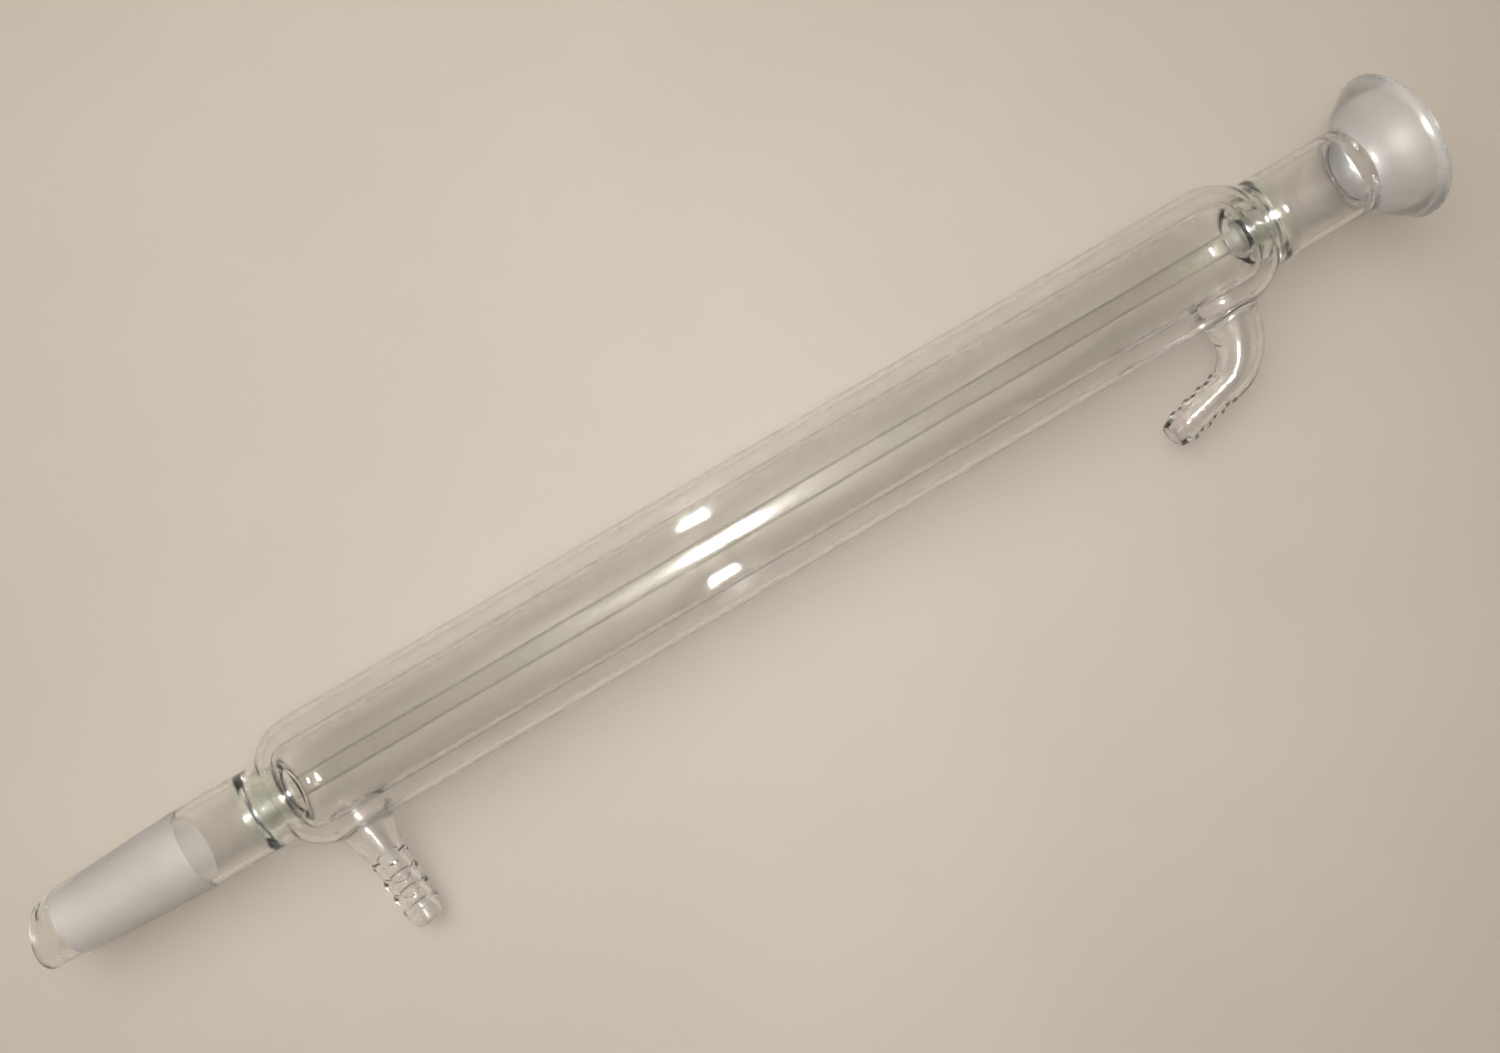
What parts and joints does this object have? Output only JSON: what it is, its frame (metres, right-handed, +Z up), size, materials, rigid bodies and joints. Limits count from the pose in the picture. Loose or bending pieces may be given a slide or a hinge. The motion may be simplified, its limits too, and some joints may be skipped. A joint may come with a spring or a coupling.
{
  "type": "laboratory water condenser",
  "caption": "Glass condenser: a straight vapour tube sealed inside a water jacket, with a ground taper joint, a ball socket and ridged hose arms.",
  "frame": {"origin": "on the bench, under the middle of the whole condenser's box", "axes": "+X along the condenser from the drip tip to the ball socket, +Z up, and the hose arms point to -Y and 17 degrees below level"},
  "size_m": [0.4518, 0.0758, 0.0468],
  "materials": {
    "clear_glass": "clear, fire polished, very slightly warm, with fine scratches",
    "seal_glass": "thick fused glass with a faint green tint",
    "ground_glass": "matt ground surface, whitish"
  },
  "bodies": {
    "root": {"drip_tip": "clear_glass", "ground_cone": "ground_glass", "lower_neck": "clear_glass", "lower_ring_seal": "seal_glass", "water_jacket": "clear_glass", "inner_tube": "clear_glass", "upper_ring_seal": "seal_glass", "upper_neck": "clear_glass", "ball_socket": "ground_glass", "inlet_stub": "clear_glass", "inlet_hose_barb": "clear_glass", "outlet_stub": "clear_glass", "outlet_bend": "clear_glass", "outlet_hose_barb": "clear_glass"}
  },
  "joints": []
}
